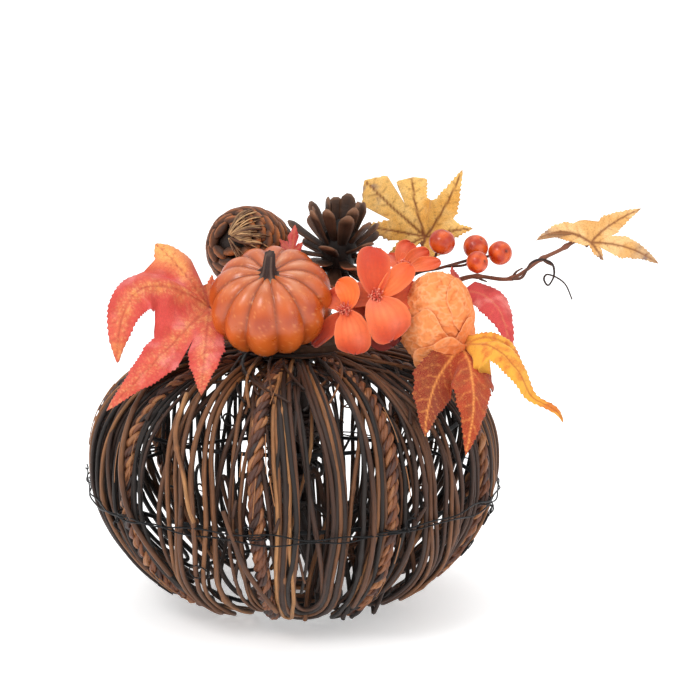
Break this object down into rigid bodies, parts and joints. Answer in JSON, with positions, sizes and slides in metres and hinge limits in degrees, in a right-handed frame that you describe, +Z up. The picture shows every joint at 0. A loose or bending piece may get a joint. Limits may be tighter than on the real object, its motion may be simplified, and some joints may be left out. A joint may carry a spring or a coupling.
{
  "type": "woven vine pumpkin decoration",
  "caption": "Open pumpkin-shaped cage of bent vines and bark ropes with autumn picks on its crown: small pumpkin, pine cones, leaves, flowers, berries, twig",
  "frame": {"origin": "on the cage's vertical axis, at the flat underside that it stands on", "axes": "+Z up along the cage's axis, -Y towards the front with the small pumpkin, +X towards the twig"},
  "size_m": [0.3285, 0.241, 0.2489],
  "materials": {
    "vine": "dry bark, matt",
    "bark_rope": "twisted bark strips, matt",
    "dark_wire": "black annealed wire",
    "foam": "brown floral foam",
    "pumpkin_skin": "painted moulding with a satin sheen",
    "dark_stem": "dark brown, satin",
    "cone_scale": "woody scales, matt",
    "red_leaf": "printed die-cut polyester, coral red with yellow patches",
    "veined_leaf": "printed die-cut polyester, dark red-orange with pale veins",
    "pink_leaf": "printed die-cut polyester, pinkish red",
    "tan_leaf": "printed die-cut polyester, yellow-tan with brown veins",
    "petal": "soft polyester, coral orange",
    "stamen": "coral threads",
    "bud_paper": "crumpled paper, light orange",
    "berry": "glossy orange lacquer",
    "twig": "brown wrapped wire"
  },
  "bodies": {
    "cage": {"vine_loop_01": "vine", "vine_loop_02": "vine", "vine_loop_03": "vine", "vine_loop_04": "vine", "vine_loop_05": "vine", "vine_loop_06": "vine", "vine_loop_07": "vine", "vine_loop_08": "vine", "vine_loop_09": "vine", "vine_loop_10": "vine", "vine_loop_11": "vine", "vine_loop_12": "vine", "vine_loop_13": "vine", "vine_loop_14": "vine", "vine_loop_15": "vine", "vine_loop_16": "vine", "vine_loop_17": "vine", "vine_loop_18": "vine", "bark_rope_1": "bark_rope", "bark_rope_2": "bark_rope", "bark_rope_3": "bark_rope", "bark_rope_4": "bark_rope", "bark_rope_5": "bark_rope", "bark_rope_6": "bark_rope", "bark_rope_7": "bark_rope", "bark_rope_8": "bark_rope", "bark_rope_9": "bark_rope", "crown_ring": "dark_wire", "upper_frame_ring": "dark_wire", "belly_frame_ring": "dark_wire", "foot_frame_ring": "dark_wire", "belly_tie_wire": "dark_wire", "base_knot": "vine", "pick_stem_bundle": "dark_stem", "foam_mound": "foam", "small_pumpkin": "pumpkin_skin", "small_pumpkin_stem": "dark_stem", "closed_pine_cone": "cone_scale", "open_pine_cone": "cone_scale", "maple_leaf_small": "pink_leaf", "flower_left": "petal", "flower_middle": "petal", "flower_back": "petal", "flower_left_stamens": "stamen", "flower_middle_stamens": "stamen", "flower_back_stamens": "stamen", "paper_bud": "bud_paper", "paper_bud_wrap": "bud_paper"},
    "left_leaf": {"maple_leaf_left": "red_leaf"},
    "tan_leaf": {"maple_leaf_tan": "tan_leaf"},
    "pink_leaf": {"maple_leaf_pink": "pink_leaf"},
    "drooping_leaf": {"maple_leaf_drooping": "veined_leaf"},
    "berry_spray": {"berry_stem": "twig", "berry_1": "berry", "berry_2": "berry", "berry_3": "berry", "berry_4": "berry"},
    "twig_pick": {"twig": "twig", "tendril": "twig"},
    "twig_end_leaf": {"twig_leaf": "tan_leaf"}
  },
  "joints": [
    {"name": "left_leaf_bend", "type": "hinge", "parent": "cage", "child": "left_leaf", "pos_m": [-0.03, 0.004, 0.1595], "axis": [-0.7071, 0.7071, 0], "range_deg": [-0.5, 3]},
    {"name": "tan_leaf_bend", "type": "hinge", "parent": "cage", "child": "tan_leaf", "pos_m": [0.034, 0.031, 0.162], "axis": [-1, 0, 0], "range_deg": [-6, 18]},
    {"name": "pink_leaf_bend", "type": "hinge", "parent": "cage", "child": "pink_leaf", "pos_m": [0.037, 0.003, 0.161], "axis": [0, 1, 0], "range_deg": [-1, 4]},
    {"name": "drooping_leaf_bend", "type": "hinge", "parent": "cage", "child": "drooping_leaf", "pos_m": [0.0905, -0.0598, 0.1695], "axis": [-0.8824, -0.4706, 0], "range_deg": [-1, 14]},
    {"name": "berry_spray_bend", "type": "hinge", "parent": "cage", "child": "berry_spray", "pos_m": [0.034, -0.004, 0.16], "axis": [0, -1, 0], "range_deg": [-3, 2]},
    {"name": "twig_bend", "type": "hinge", "parent": "cage", "child": "twig_pick", "pos_m": [0.036, 0.012, 0.1605], "axis": [0, -1, 0], "range_deg": [-8, 3]},
    {"name": "twig_leaf_bend", "type": "hinge", "parent": "twig_pick", "child": "twig_end_leaf", "pos_m": [0.168, 0, 0.2105], "axis": [0, 0, 1], "range_deg": [0, 25]}
  ]
}
